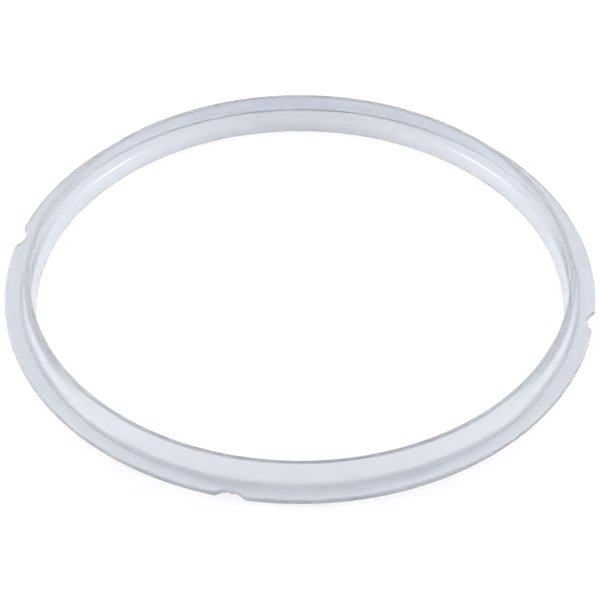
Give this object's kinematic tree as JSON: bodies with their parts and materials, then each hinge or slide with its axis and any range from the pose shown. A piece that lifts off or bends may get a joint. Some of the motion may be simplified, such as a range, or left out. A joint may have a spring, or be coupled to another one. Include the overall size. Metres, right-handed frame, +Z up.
{
  "type": "pressure cooker sealing ring",
  "caption": "Translucent silicone sealing ring for a pressure cooker lid: a notched flange with an upper and a lower lip, parted by a groove that steam presses open.",
  "frame": {"origin": "on the ring's axis, at the level of the lower lip's tip, on which the ring rests", "axes": "+Z up along the ring's axis, towards the lid; the notches lie on the diagonals between X and Y"},
  "size_m": [0.245, 0.245, 0.0193],
  "materials": {
    "silicone": "satin, milky translucent"
  },
  "bodies": {
    "root": {"sealing_ring": "silicone"}
  },
  "joints": []
}
